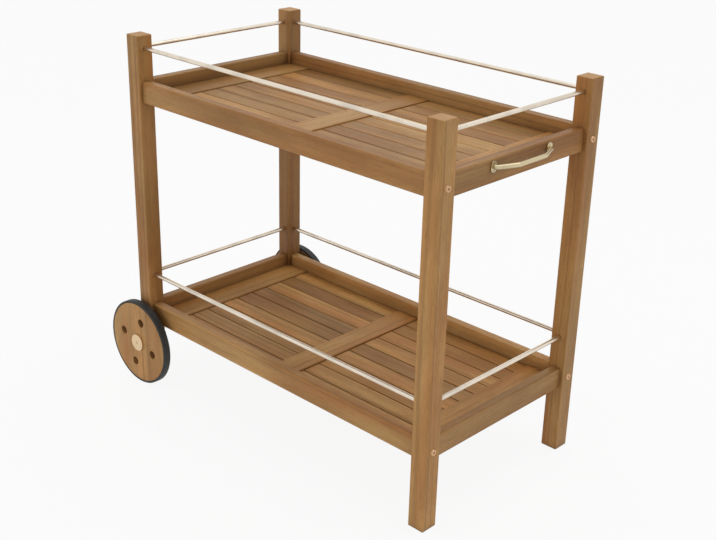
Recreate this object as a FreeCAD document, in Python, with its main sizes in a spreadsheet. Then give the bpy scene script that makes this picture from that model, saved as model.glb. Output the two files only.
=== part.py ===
import FreeCAD, Part
import itertools
import math
import os
import Sketcher

# Driving sizes of the cart, in millimetres, with angles in degrees and plain counts.
SIZES = {
    # The four posts
    "height": 850,
    "length_over_posts": 922,
    "depth_over_posts": 492,
    "post_width": 40,
    "post_edge_radius": 2.5,
    "wheel_post_below_axle": 34,
    # The eight rails round the two trays
    "rail_height": 49,
    "rail_thickness": 22,
    "rail_inset": 9,
    "rail_edge_radius": 3,
    "upper_rail_drop": 127.5,
    "lower_rail_rise": 179.5,
    "tenon_thickness": 10,
    "tenon_shoulder": 8,
    "tenon_clearance": 0.1,
    "mortise_wall": 1.5,
    "mortise_end_gap": 0.4,
    # The two slatted decks
    "cleat_height": 6,
    "cleat_width": 18,
    "slat_count": 9,
    "slat_thickness": 12,
    "slat_gap": 2.5,
    "slat_end_gap": 1.5,
    "board_edge_radius": 1.5,
    "end_board_width": 68,
    "middle_board_width": 62,
    "crossboard_proud": 3,
    "tongue_thickness": 5,
    "tongue_length": 8,
    "tongue_clearance": 0.15,
    "groove_end_gap": 1,
    "deck_edge_gap": 0.5,
    # The eight gallery rods
    "rod_diameter": 9.5,
    "upper_rod_drop": 29,
    "lower_rod_rise": 97,
    "rod_wall": 3,
    "rod_clearance": 0.4,
    "rod_end_gap": 0.3,
    # The bolted corners
    "bolt_diameter": 6,
    "bolt_clearance": 0.25,
    "bolt_head_diameter": 15,
    "bolt_head_height": 2.4,
    "bolt_head_taper": 1,
    "bolt_socket_radius": 2.4,
    "bolt_socket_depth": 1.8,
    "bolt_tail": 9,
    "bolt_end_gap": 1,
    "nut_diameter": 10,
    "nut_length": 14,
    "nut_setback": 24,
    "nut_clearance": 0.1,
    "dowel_diameter": 8,
    "dowel_length": 30,
    "dowel_drop": 16,
    "dowel_clearance": 0.05,
    "dowel_end_gap": 0.5,
    # The two wheels and their axles
    "wheel_radius": 105,
    "wheel_thickness": 18,
    "wheel_gap": 9.5,
    "wheel_side_play": 0.3,
    "wheel_edge_radius": 1.5,
    "wheel_hole_count": 4,
    "wheel_hole_diameter": 21,
    "wheel_hole_circle_radius": 57,
    "wheel_turn": 14.5,
    "tyre_thickness": 5,
    "tyre_edge_radius": 2,
    "glue_gap": 0.05,
    "bush_wall": 3,
    "axle_diameter": 10,
    "axle_running_clearance": 0.08,
    "axle_clearance": 0.2,
    "axle_head_diameter": 18,
    "axle_head_height": 2.4,
    "axle_tail": 3,
    "hub_cap_diameter": 42,
    "hub_cap_thickness": 4,
    "hub_cap_edge_radius": 1.5,
    "spacer_diameter": 24,
    "axle_washer_diameter": 24,
    "axle_washer_thickness": 2,
    "axle_nut_radius": 9.5,
    "axle_nut_height": 8,
    # The pull handle
    "handle_span": 174,
    "handle_grip_length": 82,
    "handle_reach": 26.5,
    "handle_root": 8,
    "handle_bend_radius": 8,
    "handle_bar_diameter": 9,
    "handle_rise": 9,
    "handle_plate_width": 17,
    "handle_plate_height": 23,
    "handle_plate_thickness": 2.5,
    "handle_screw_spacing": 15.6,
    # The wood screws, and the cross recess in every screw head
    "handle_screw_diameter": 3.5,
    "handle_screw_head_diameter": 6,
    "handle_screw_length": 14,
    "deck_screw_diameter": 4,
    "deck_screw_head_diameter": 8,
    "deck_screw_length": 16,
    "screw_head_height": 1.6,
    "screw_tip_length": 3,
    "screw_clearance": 0.1,
    "recess_width": 1.1,
    "recess_depth": 1,
    # How far a cutting shape runs past the face that it cuts
    "cut_overrun": 1,
}

# Places and sizes that follow from the driving sizes, each in the words of the ones above it.
FOLLOWING = {
    "post_x": "Dim.length_over_posts / 2 - Dim.post_width / 2",
    "post_y": "Dim.depth_over_posts / 2 - Dim.post_width / 2",
    "post_in_x": "post_x - Dim.post_width / 2",
    "post_in_y": "post_y - Dim.post_width / 2",
    "rail_x": "Dim.length_over_posts / 2 - Dim.rail_inset - Dim.rail_thickness / 2",
    "rail_y": "Dim.depth_over_posts / 2 - Dim.rail_inset - Dim.rail_thickness / 2",
    "rail_in_x": "rail_x - Dim.rail_thickness / 2",
    "rail_in_y": "rail_y - Dim.rail_thickness / 2",
    "rail_out_x": "rail_x + Dim.rail_thickness / 2",
    "upper_rail_level": "Dim.height - Dim.upper_rail_drop",
    "lower_rail_level": "Dim.lower_rail_rise",
    "upper_rod_level": "Dim.height - Dim.upper_rod_drop",
    "lower_rod_level": "lower_rail_level + Dim.lower_rod_rise",
    "tenon_height": "Dim.rail_height - 2 * Dim.tenon_shoulder",
    "tenon_length": "post_y + Dim.post_width / 2 - Dim.rail_inset - Dim.rail_thickness / 2"
                    " - Dim.dowel_diameter / 2 - Dim.mortise_wall - post_in_y",
    "wheel_reach": "post_x + Dim.wheel_radius",
    "handle_out_x": "rail_out_x + Dim.handle_reach + Dim.handle_bar_diameter / 2",
    "frame_x": "(wheel_reach - handle_out_x) / 2",
    "wheel_post_foot": "Dim.wheel_radius - Dim.wheel_post_below_axle",
    "deck_rise": "Dim.cleat_height - Dim.rail_height / 2",
    "crossboard_thickness": "Dim.slat_thickness + Dim.crossboard_proud",
    "crossboard_x": "rail_in_x - Dim.deck_edge_gap - Dim.end_board_width / 2",
    "bay_end_x": "crossboard_x - Dim.end_board_width / 2",
    "bay_x": "(bay_end_x + Dim.middle_board_width / 2) / 2",
    "slat_pitch": "2 * rail_in_y / Dim.slat_count",
    "slat_width": "slat_pitch - Dim.slat_gap",
    "slat_length": "bay_end_x - Dim.middle_board_width / 2 - 2 * Dim.slat_end_gap",
    "groove_depth": "Dim.tongue_length + Dim.groove_end_gap",
    "groove_height": "Dim.tongue_thickness + 2 * Dim.tongue_clearance",
    "cleat_y": "rail_in_y - Dim.cleat_width / 2",
    "rod_socket": "Dim.post_width / 2 - Dim.rod_diameter / 2 - Dim.rod_wall",
    "bolt_length": "Dim.post_width + Dim.nut_setback + Dim.bolt_tail",
    "disc_radius": "Dim.wheel_radius - Dim.tyre_thickness",
    "axle_bore": "Dim.axle_diameter / 2 + Dim.axle_clearance",
    "bush_bore": "Dim.axle_diameter / 2 + Dim.axle_running_clearance",
    "bush_radius": "bush_bore + Dim.bush_wall",
    "wheel_in_y": "Dim.depth_over_posts / 2 + Dim.wheel_gap",
    "wheel_out_y": "wheel_in_y + Dim.wheel_thickness",
    "cap_in_y": "wheel_out_y + Dim.wheel_side_play",
    "cap_out_y": "cap_in_y + Dim.hub_cap_thickness",
    "spacer_length": "Dim.wheel_gap - Dim.wheel_side_play",
    "nut_in_y": "post_in_y - Dim.axle_washer_thickness - Dim.axle_nut_height",
    "axle_length": "cap_out_y - nut_in_y + Dim.axle_tail",
    "handle_level": "upper_rail_level + Dim.handle_rise",
    "handle_face_x": "frame_x + rail_out_x",
}

LEVELS = ("upper", "lower")
SIDES = {"front": -1, "back": 1}
ENDS = {"wheel": -1, "handle": 1}
UP = FreeCAD.Vector(0, 0, 1)
DOWN = (0, 0, -1)
# Two directions count as alike when their unit vectors share this much.
ALIGNED_SHARE = 0.99

doc = FreeCAD.newDocument("bar_cart")
pieces = []


# The sheet of driving sizes and the set of values that follow from them

def write_sizes():
    sheet = doc.addObject("Spreadsheet::Sheet", "Dim")
    for row, (alias, value) in enumerate(SIZES.items(), start=1):
        sheet.set(f"A{row}", alias)
        sheet.set(f"B{row}", str(value))
        sheet.setAlias(f"B{row}", alias)
    doc.recompute()
    place_set = doc.addObject("App::VarSet", "Place")
    for name, text in FOLLOWING.items():
        place_set.addProperty("App::PropertyFloat", name)
        place_set.setExpression(name, text)
    doc.recompute()
    return sheet


def move(obj, x, y, z):
    """Bind the place of an object to three expressions."""
    for axis, text in zip("xyz", (x, y, z)):
        obj.setExpression(f"Placement.Base.{axis}", text)
    return obj


def keep(obj, label):
    """Name an object as one finished sub-part."""
    obj.Label = label
    pieces.append(obj)
    return obj


# Sketched bodies

def new_sketch(body, name, role):
    sketch = body.newObject("Sketcher::SketchObject", name)
    plane = next(feature for feature in body.Origin.OriginFeatures if feature.Role == role)
    sketch.AttachmentSupport = (plane, [""])
    sketch.MapMode = "FlatFace"
    return sketch


def bind(sketch, constraint, name, text):
    sketch.renameConstraint(sketch.addConstraint(constraint), name)
    sketch.setExpression(f"Constraints.{name}", text)


def draw_rectangle(sketch, wide, tall):
    """A rectangle with its middle on the sketch's origin."""
    corners = [FreeCAD.Vector(x, y, 0) for x, y in ((-1, -1), (1, -1), (1, 1), (-1, 1))]
    for start, stop in zip(corners, corners[1:] + corners[:1]):
        sketch.addGeometry(Part.LineSegment(start, stop), False)
    for side, run in enumerate(("Horizontal", "Vertical", "Horizontal", "Vertical")):
        sketch.addConstraint(Sketcher.Constraint("Coincident", side, 2, (side + 1) % len(corners), 1))
        sketch.addConstraint(Sketcher.Constraint(run, side))
    sketch.addConstraint(Sketcher.Constraint("Symmetric", 0, 1, 1, 2, -1, 1))
    bind(sketch, Sketcher.Constraint("DistanceX", 0, 1, 0, 2, 2), "wide", wide)
    bind(sketch, Sketcher.Constraint("DistanceY", 1, 1, 1, 2, 2), "tall", tall)


def draw_circle(sketch, name, radius, along=None):
    """A circle on the sketch's origin, or the given way along its horizontal axis."""
    circle = sketch.addGeometry(Part.Circle(FreeCAD.Vector(), UP, 1), False)
    if along is None:
        sketch.addConstraint(Sketcher.Constraint("Coincident", circle, 3, -1, 1))
    else:
        sketch.addConstraint(Sketcher.Constraint("PointOnObject", circle, 3, -1))
        bind(sketch, Sketcher.Constraint("DistanceX", -1, 1, circle, 3, 1), f"{name}_along", along)
    bind(sketch, Sketcher.Constraint("Radius", circle, 1), f"{name}_radius", radius)


def pad_both_ways(body, sketch, length):
    pad = body.newObject("PartDesign::Pad", f"{sketch.Name}_pad")
    pad.Profile = sketch
    pad.SideType = "Symmetric"
    pad.setExpression("Length", length)
    doc.recompute()
    return pad


def round_edges(body, feature, radius, chosen):
    """Fillet the edges of the feature that the chosen test picks."""
    names = [f"Edge{count}" for count, edge in enumerate(feature.Shape.Edges, start=1) if chosen(edge)]
    fillet = body.newObject("PartDesign::Fillet", f"{feature.Name}_fillet")
    fillet.Base = (feature, names)
    fillet.setExpression("Radius", radius)
    doc.recompute()
    return fillet


def every_edge(edge):
    return True


def runs_along(direction):
    return lambda edge: abs(edge.tangentAt(edge.FirstParameter).dot(direction)) > ALIGNED_SHARE


def bar(name, role, wide, tall, length, edge_radius=None, chosen=every_edge):
    """A straight rectangular bar, padded both ways from a plane, with its chosen edges eased."""
    body = doc.addObject("PartDesign::Body", name)
    sketch = new_sketch(body, f"{name}_section", role)
    draw_rectangle(sketch, wide, tall)
    pad = pad_both_ways(body, sketch, length)
    if edge_radius:
        round_edges(body, pad, edge_radius, chosen)
    return body


def on_circle(edge, radius):
    return isinstance(edge.Curve, Part.Circle) and math.isclose(edge.Curve.Radius, radius)


def ring(name, radius, thickness, bore=None, edge_radius=None, chosen=every_edge):
    """A disc or ring about the Y axis, padded both ways, with its rims eased."""
    body = doc.addObject("PartDesign::Body", name)
    sketch = new_sketch(body, f"{name}_section", "XZ_Plane")
    draw_circle(sketch, "outer", radius)
    if bore:
        draw_circle(sketch, "bore", bore)
    pad = pad_both_ways(body, sketch, thickness)
    if edge_radius:
        rim = max(edge.Curve.Radius for edge in pad.Shape.Edges if isinstance(edge.Curve, Part.Circle))
        round_edges(body, pad, edge_radius, lambda edge: on_circle(edge, rim) and chosen(edge))
    return body


# Primitive solids and booleans

def block(name, size, middle):
    """A box of three sizes about its middle."""
    box = doc.addObject("Part::Box", name)
    for side, text in zip(("Length", "Width", "Height"), size):
        box.setExpression(side, text)
    return move(box, *(f"({centre}) - ({text}) / 2" for centre, text in zip(middle, size)))


def turned(obj, direction):
    """Turn an object so that its own Z axis points in the given direction."""
    obj.Placement = FreeCAD.Placement(FreeCAD.Vector(), FreeCAD.Rotation(UP, FreeCAD.Vector(*direction)))
    return obj


def cylinder(name, radius, length, direction, start):
    obj = turned(doc.addObject("Part::Cylinder", name), direction)
    obj.setExpression("Radius", radius)
    obj.setExpression("Height", length)
    return move(obj, *start)


def cone(name, first_radius, last_radius, length, direction, start):
    obj = turned(doc.addObject("Part::Cone", name), direction)
    obj.setExpression("Radius1", first_radius)
    obj.setExpression("Radius2", last_radius)
    obj.setExpression("Height", length)
    return move(obj, *start)


def prism(name, radius, length, direction, start):
    """A hexagonal prism, given by the radius to its corners."""
    obj = turned(doc.addObject("Part::Prism", name), direction)
    obj.setExpression("Circumradius", radius)
    obj.setExpression("Height", length)
    return move(obj, *start)


def fuse(name, shapes):
    joined = doc.addObject("Part::MultiFuse", name)
    joined.Shapes = shapes
    joined.Refine = True
    return joined


def gather(name, shapes):
    together = doc.addObject("Part::Compound", name)
    together.Links = shapes
    return together


def cut(name, base, tools):
    """The base with all the tools taken out of it."""
    result = doc.addObject("Part::Cut", name)
    result.Base = base
    result.Tool = gather(f"{name}_cuts", tools)
    return result


def copy_at(name, original, direction, start):
    """A placed copy of an original, with the original's Z axis turned to a direction."""
    copy = doc.addObject("App::Link", name)
    copy.LinkedObject = original
    return move(turned(copy, direction), *start)


# Places that several pieces share

def end_x(end, offset):
    return f"Place.frame_x + {ENDS[end]} * ({offset})"


def side_y(side, offset):
    return f"{SIDES[side]} * ({offset})"


def along_x(end, way=1):
    return (way * ENDS[end], 0, 0)


def along_y(side, way=1):
    return (0, way * SIDES[side], 0)


def rail_level(level):
    return f"Place.{level}_rail_level"


def deck_under(level):
    return f"{rail_level(level)} + Place.deck_rise"


# The bolted corners: bolt, dowel and barrel nut holes run on from post to rail

def bolt_hole(name, level, end, side):
    start = (end_x(end, "Dim.length_over_posts / 2 + Dim.cut_overrun"), side_y(side, "Place.rail_y"),
             rail_level(level))
    return cylinder(name, "Dim.bolt_diameter / 2 + Dim.bolt_clearance",
                    "Place.bolt_length + Dim.bolt_end_gap + Dim.cut_overrun", along_x(end, -1), start)


def dowel_hole(name, level, end, side):
    half = "Dim.dowel_length / 2 + Dim.dowel_end_gap"
    start = (end_x(end, f"Place.post_in_x - ({half})"), side_y(side, "Place.rail_y"),
             f"{rail_level(level)} - Dim.dowel_drop")
    radius = "Dim.dowel_diameter / 2 + Dim.dowel_clearance"
    return cylinder(name, radius, f"2 * ({half})", along_x(end), start)


def nut_hole(name, level, end, side):
    """The blind hole that takes a barrel nut from the under edge of a long rail."""
    start = (end_x(end, "Place.post_in_x - Dim.nut_setback"), side_y(side, "Place.rail_y"),
             f"{rail_level(level)} - Dim.rail_height / 2 - Dim.cut_overrun")
    length = "(Dim.rail_height + Dim.nut_length) / 2 + Dim.nut_clearance + Dim.cut_overrun"
    return cylinder(name, "Dim.nut_diameter / 2 + Dim.nut_clearance", length, (0, 0, 1), start)


def mortise(name, level, end, side):
    depth = "Place.tenon_length + Dim.mortise_end_gap"
    size = ("Dim.tenon_thickness + 2 * Dim.tenon_clearance", f"{depth} + Dim.cut_overrun",
            "Place.tenon_height + 2 * Dim.tenon_clearance")
    y = side_y(side, f"Place.post_in_y + ({depth} - Dim.cut_overrun) / 2")
    middle = (end_x(end, "Place.rail_x"), y, rail_level(level))
    return block(name, size, middle)


def rod_sockets(name, level, end, side):
    radius = "Dim.rod_diameter / 2 + Dim.rod_clearance"
    depth = "Place.rod_socket + Dim.rod_end_gap + Dim.cut_overrun"
    height = f"Place.{level}_rod_level"
    lengthwise = (end_x(end, "Place.post_in_x - Dim.cut_overrun"), side_y(side, "Place.post_y"), height)
    crosswise = (end_x(end, "Place.post_x"), side_y(side, "Place.post_in_y - Dim.cut_overrun"), height)
    return [cylinder(f"{name}_lengthwise", radius, depth, along_x(end), lengthwise),
            cylinder(f"{name}_crosswise", radius, depth, along_y(side), crosswise)]


def axle_hole(name, side):
    start = (end_x("wheel", "Place.post_x"), side_y(side, "Dim.depth_over_posts / 2 + Dim.cut_overrun"),
             "Dim.wheel_radius")
    return cylinder(name, "Place.axle_bore", "Dim.post_width + 2 * Dim.cut_overrun", along_y(side, -1), start)


# Posts and rails

def make_post(end, side):
    label = f"{side}_{end}_post"
    foot = "Place.wheel_post_foot" if end == "wheel" else "0"
    blank = bar(f"{label}_blank", "XY_Plane", "Dim.post_width", "Dim.post_width", f"Dim.height - {foot}",
                "Dim.post_edge_radius")
    move(blank, end_x(end, "Place.post_x"), side_y(side, "Place.post_y"), f"(Dim.height + {foot}) / 2")
    tools = []
    for level in LEVELS:
        tools.append(bolt_hole(f"{label}_{level}_bolt_hole", level, end, side))
        tools.append(dowel_hole(f"{label}_{level}_dowel_hole", level, end, side))
        tools.append(mortise(f"{label}_{level}_mortise", level, end, side))
        tools.extend(rod_sockets(f"{label}_{level}_socket", level, end, side))
    if end == "wheel":
        tools.append(axle_hole(f"{label}_axle_hole", side))
    keep(cut(label, blank, tools), label)


def make_long_rail(level, side):
    label = f"{level}_{side}_rail"
    blank = bar(f"{label}_blank", "YZ_Plane", "Dim.rail_thickness", "Dim.rail_height", "2 * Place.post_in_x",
                "Dim.rail_edge_radius", runs_along(FreeCAD.Vector(1, 0, 0)))
    move(blank, "Place.frame_x", side_y(side, "Place.rail_y"), rail_level(level))
    tools = []
    for end in ENDS:
        tools.append(bolt_hole(f"{label}_{end}_bolt_hole", level, end, side))
        tools.append(dowel_hole(f"{label}_{end}_dowel_hole", level, end, side))
        tools.append(nut_hole(f"{label}_{end}_nut_hole", level, end, side))
    keep(cut(label, blank, tools), label)


def make_short_rail(level, end):
    label = f"{level}_{end}_rail"
    blank = bar(f"{label}_blank", "XZ_Plane", "Dim.rail_thickness", "Dim.rail_height", "2 * Place.post_in_y",
                "Dim.rail_edge_radius", runs_along(FreeCAD.Vector(0, 1, 0)))
    tenon = new_sketch(blank, f"{label}_tenon", "XZ_Plane")
    draw_rectangle(tenon, "Dim.tenon_thickness", "Place.tenon_height")
    pad_both_ways(blank, tenon, "2 * (Place.post_in_y + Place.tenon_length)")
    move(blank, end_x(end, "Place.rail_x"), "0", rail_level(level))
    if (level, end) == ("upper", "handle"):
        blank = cut(label, blank, handle_screw_holes(label))
    keep(blank, label)


def make_corner_fasteners():
    bolt = rail_bolt()
    nut = barrel_nut()
    bolts = []
    nuts = []
    dowels = []
    for level, end, side in itertools.product(LEVELS, ENDS, SIDES):
        corner = f"{level}_{side}_{end}"
        y = side_y(side, "Place.rail_y")
        z = rail_level(level)
        head = (end_x(end, "Dim.length_over_posts / 2"), y, z)
        seat = (end_x(end, "Place.post_in_x - Dim.nut_setback"), y, z)
        start = (end_x(end, "Place.post_in_x - Dim.dowel_length / 2"), y, f"{z} - Dim.dowel_drop")
        bolts.append(copy_at(f"{corner}_bolt", bolt, along_x(end), head))
        nuts.append(copy_at(f"{corner}_nut", nut, (0, 0, 1), seat))
        dowels.append(cylinder(f"{corner}_dowel", "Dim.dowel_diameter / 2", "Dim.dowel_length",
                               along_x(end), start))
    keep(gather("rail_bolts", bolts), "rail_bolts")
    keep(gather("barrel_nuts", nuts), "barrel_nuts")
    keep(gather("rail_dowels", dowels), "rail_dowels")


def rail_bolt():
    """A flat-headed bolt with a hexagon socket: its head rests on z = 0 and its shank runs down."""
    head = cone("bolt_head", "Dim.bolt_head_diameter / 2", "Dim.bolt_head_diameter / 2 - Dim.bolt_head_taper",
                "Dim.bolt_head_height", (0, 0, 1), ("0", "0", "0"))
    shank = cylinder("bolt_shank", "Dim.bolt_diameter / 2", "Place.bolt_length", DOWN, ("0", "0", "0"))
    socket = prism("bolt_socket", "Dim.bolt_socket_radius", "Dim.bolt_socket_depth + Dim.cut_overrun",
                   (0, 0, 1), ("0", "0", "Dim.bolt_head_height - Dim.bolt_socket_depth"))
    return cut("bolt", fuse("bolt_blank", [head, shank]), [socket])


def barrel_nut():
    """An upright cross dowel with its threaded hole along X."""
    body = cylinder("nut_body", "Dim.nut_diameter / 2", "Dim.nut_length", (0, 0, 1),
                    ("0", "0", "-Dim.nut_length / 2"))
    hole = cylinder("nut_thread", "Dim.bolt_diameter / 2 + Dim.glue_gap",
                    "Dim.nut_diameter + 2 * Dim.cut_overrun", (1, 0, 0),
                    ("-Dim.nut_diameter / 2 - Dim.cut_overrun", "0", "0"))
    return cut("barrel_nut", body, [hole])


# Wood screws with countersunk heads and cross recesses

def cross_recess(name, length):
    """Two crossed slots in the top of a head that lies on z = 0."""
    width = "Dim.recess_width"
    depth = "Dim.recess_depth + Dim.cut_overrun"
    middle = ("0", "0", "(Dim.cut_overrun - Dim.recess_depth) / 2")
    return [block(f"{name}_along", (length, width, depth), middle),
            block(f"{name}_across", (width, length, depth), middle)]


def wood_screw(kind):
    """A screw of the named kind: the top of its head lies on z = 0 and its shank runs down."""
    head_radius = f"Dim.{kind}_screw_head_diameter / 2"
    shank_radius = f"Dim.{kind}_screw_diameter / 2"
    straight = f"Dim.{kind}_screw_length - Dim.screw_head_height - Dim.screw_tip_length"
    head = cone(f"{kind}_screw_head", head_radius, shank_radius, "Dim.screw_head_height", DOWN,
                ("0", "0", "0"))
    shank = cylinder(f"{kind}_screw_shank", shank_radius, straight, DOWN,
                     ("0", "0", "-Dim.screw_head_height"))
    tip = cone(f"{kind}_screw_tip", shank_radius, "0", "Dim.screw_tip_length", DOWN,
               ("0", "0", f"Dim.screw_tip_length - Dim.{kind}_screw_length"))
    recess = cross_recess(f"{kind}_screw_recess", f"Dim.{kind}_screw_diameter")
    return cut(f"{kind}_screw", fuse(f"{kind}_screw_blank", [head, shank, tip]), recess)


def screw_hole(name, kind, direction, start):
    """The countersunk hole of a screw that is driven from a start in a direction."""
    head_radius = f"Dim.{kind}_screw_head_diameter / 2 + Dim.screw_clearance"
    shank_radius = f"Dim.{kind}_screw_diameter / 2 + Dim.screw_clearance"
    length = f"Dim.{kind}_screw_length + Dim.screw_clearance"
    sink = cone(f"{name}_sink", head_radius, shank_radius, "Dim.screw_head_height", direction, start)
    return gather(name, [sink, cylinder(f"{name}_bore", shank_radius, length, direction, start)])


# The slatted decks

CROSSBOARDS = {"wheel": -1, "middle": 0, "handle": 1}


def board_x(board):
    return f"Place.frame_x + {CROSSBOARDS[board]} * Place.crossboard_x"


def board_width(board):
    return "Dim.middle_board_width" if board == "middle" else "Dim.end_board_width"


def deck_screw_start(level, board, side):
    return (board_x(board), side_y(side, "Place.cleat_y"), f"{rail_level(level)} - Dim.rail_height / 2")


def make_crossboard(level, board, screw_holes):
    label = f"{level}_{board}_crossboard"
    top_edges = runs_along(FreeCAD.Vector(0, 1, 0))
    blank = bar(f"{label}_blank", "XZ_Plane", board_width(board), "Place.crossboard_thickness",
                "2 * (Place.rail_in_y - Dim.deck_edge_gap)", "Dim.board_edge_radius",
                lambda edge: top_edges(edge) and edge.CenterOfMass.z > 0)
    move(blank, board_x(board), "0", f"{deck_under(level)} + Place.crossboard_thickness / 2")
    tools = [screw_holes[board, side] for side in SIDES]
    for facing in ENDS.values():
        if CROSSBOARDS[board] != facing:
            tools.append(slat_groove(f"{label}_groove_{len(tools)}", level, board, facing))
    for side in SIDES:
        if board in ENDS:
            tools.append(post_notch(f"{label}_{side}_notch", level, board, side))
    keep(cut(label, blank, tools), label)


def slat_groove(name, level, board, facing):
    """The groove along the edge of a crossboard, on whose lower lip the tongues of one bay of slats rest."""
    size = ("2 * Place.groove_depth", "2 * Place.rail_in_y", "Place.groove_height")
    middle = (f"{board_x(board)} + {facing} * {board_width(board)} / 2", "0",
              f"{deck_under(level)} + Dim.slat_thickness / 2 + Dim.tongue_clearance")
    return block(name, size, middle)


def post_notch(name, level, end, side):
    """The corner of an end crossboard that makes room for a post."""
    side_length = "Dim.post_width + 2 * Dim.deck_edge_gap"
    middle = (end_x(end, "Place.post_x"), side_y(side, "Place.post_y"),
              f"{deck_under(level)} + Place.crossboard_thickness / 2")
    return block(name, (side_length, side_length, "2 * Place.crossboard_thickness"), middle)


def make_cleat(level, side, screw_holes):
    label = f"{level}_{side}_cleat"
    blank = bar(f"{label}_blank", "YZ_Plane", "Dim.cleat_width", "Dim.cleat_height",
                "2 * (Place.post_in_x - Dim.deck_edge_gap)")
    move(blank, "Place.frame_x", side_y(side, "Place.cleat_y"), f"{deck_under(level)} - Dim.cleat_height / 2")
    keep(cut(label, blank, [screw_holes[board, side] for board in CROSSBOARDS]), label)


def deck_slat():
    """One slat along X, about its middle, with a tongue on each end."""
    lengthwise = runs_along(FreeCAD.Vector(1, 0, 0))
    body = bar("slat", "YZ_Plane", "Place.slat_width", "Dim.slat_thickness", "Place.slat_length",
               "Dim.board_edge_radius", lambda edge: lengthwise(edge) and edge.CenterOfMass.z > 0)
    tongue = new_sketch(body, "slat_tongue", "YZ_Plane")
    draw_rectangle(tongue, "Place.slat_width", "Dim.tongue_thickness")
    pad_both_ways(body, tongue, "Place.slat_length + 2 * (Dim.slat_end_gap + Dim.tongue_length)")
    return body


def make_slats(level, end, slat, count):
    label = f"{level}_{end}_bay_slats"
    rows = []
    for row in range(count):
        y = f"(2 * {row} + 1) * Place.slat_pitch / 2 - Place.rail_in_y"
        start = (end_x(end, "Place.bay_x"), y, f"{deck_under(level)} + Dim.slat_thickness / 2")
        rows.append(copy_at(f"{label}_{row}", slat, (0, 0, 1), start))
    keep(gather(label, rows), label)


def make_decks(slat_count):
    screw = wood_screw("deck")
    slat = deck_slat()
    screws = []
    for level in LEVELS:
        screw_holes = {}
        for board in CROSSBOARDS:
            for side in SIDES:
                start = deck_screw_start(level, board, side)
                name = f"{level}_{board}_{side}_deck_screw"
                screw_holes[board, side] = screw_hole(f"{name}_hole", "deck", (0, 0, 1), start)
                screws.append(copy_at(name, screw, DOWN, start))
        for board in CROSSBOARDS:
            make_crossboard(level, board, screw_holes)
        for side in SIDES:
            make_cleat(level, side, screw_holes)
        for end in ENDS:
            make_slats(level, end, slat, slat_count)
    keep(gather("deck_screws", screws), "deck_screws")


# Gallery rods

def make_rods(level):
    radius = "Dim.rod_diameter / 2"
    height = f"Place.{level}_rod_level"
    for side in SIDES:
        start = ("Place.frame_x - Place.post_in_x - Place.rod_socket", side_y(side, "Place.post_y"), height)
        label = f"{level}_{side}_rod"
        keep(cylinder(label, radius, "2 * (Place.post_in_x + Place.rod_socket)", (1, 0, 0), start), label)
    for end in ENDS:
        start = (end_x(end, "Place.post_x"), "-Place.post_in_y - Place.rod_socket", height)
        label = f"{level}_{end}_rod"
        keep(cylinder(label, radius, "2 * (Place.post_in_y + Place.rod_socket)", (0, 1, 0), start), label)


# Wheels and axles

def at_axle(obj, side, y):
    return move(obj, end_x("wheel", "Place.post_x"), side_y(side, y), "Dim.wheel_radius")


def wheel_disc(label):
    """The wooden disc, with its bush bore and a ring of round holes."""
    body = ring(label, "Place.disc_radius", "Dim.wheel_thickness", "Place.bush_radius + Dim.glue_gap",
                "Dim.wheel_edge_radius")
    sketch = new_sketch(body, f"{label}_hole", "XZ_Plane")
    draw_circle(sketch, "hole", "Dim.wheel_hole_diameter / 2", "Dim.wheel_hole_circle_radius")
    pocket = body.newObject("PartDesign::Pocket", f"{label}_pocket")
    pocket.Profile = sketch
    pocket.SideType = "Symmetric"
    pocket.setExpression("Length", "Dim.wheel_thickness + 2 * Dim.cut_overrun")
    doc.recompute()
    pattern = body.newObject("PartDesign::PolarPattern", f"{label}_holes")
    pattern.Originals = [pocket]
    pattern.Axis = (sketch, ["N_Axis"])
    pattern.setExpression("Occurrences", "Dim.wheel_hole_count")
    body.Tip = pattern
    body.Placement.Rotation = FreeCAD.Rotation(FreeCAD.Vector(0, 1, 0), SIZES["wheel_turn"])
    body.setExpression("Placement.Rotation.Angle", "Dim.wheel_turn")
    return body


def make_wheel(side):
    wheel = f"{side}_wheel"
    middle = "(Place.wheel_in_y + Place.wheel_out_y) / 2"
    disc = wheel_disc(f"{wheel}_disc")
    tyre = ring(f"{wheel}_tyre", "Dim.wheel_radius", "Dim.wheel_thickness",
                "Place.disc_radius + Dim.glue_gap", "Dim.tyre_edge_radius")
    bush = ring(f"{wheel}_bush", "Place.bush_radius", "Dim.wheel_thickness", "Place.bush_bore")
    for body in (disc, tyre, bush):
        keep(at_axle(body, side, middle), body.Name)


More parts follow.
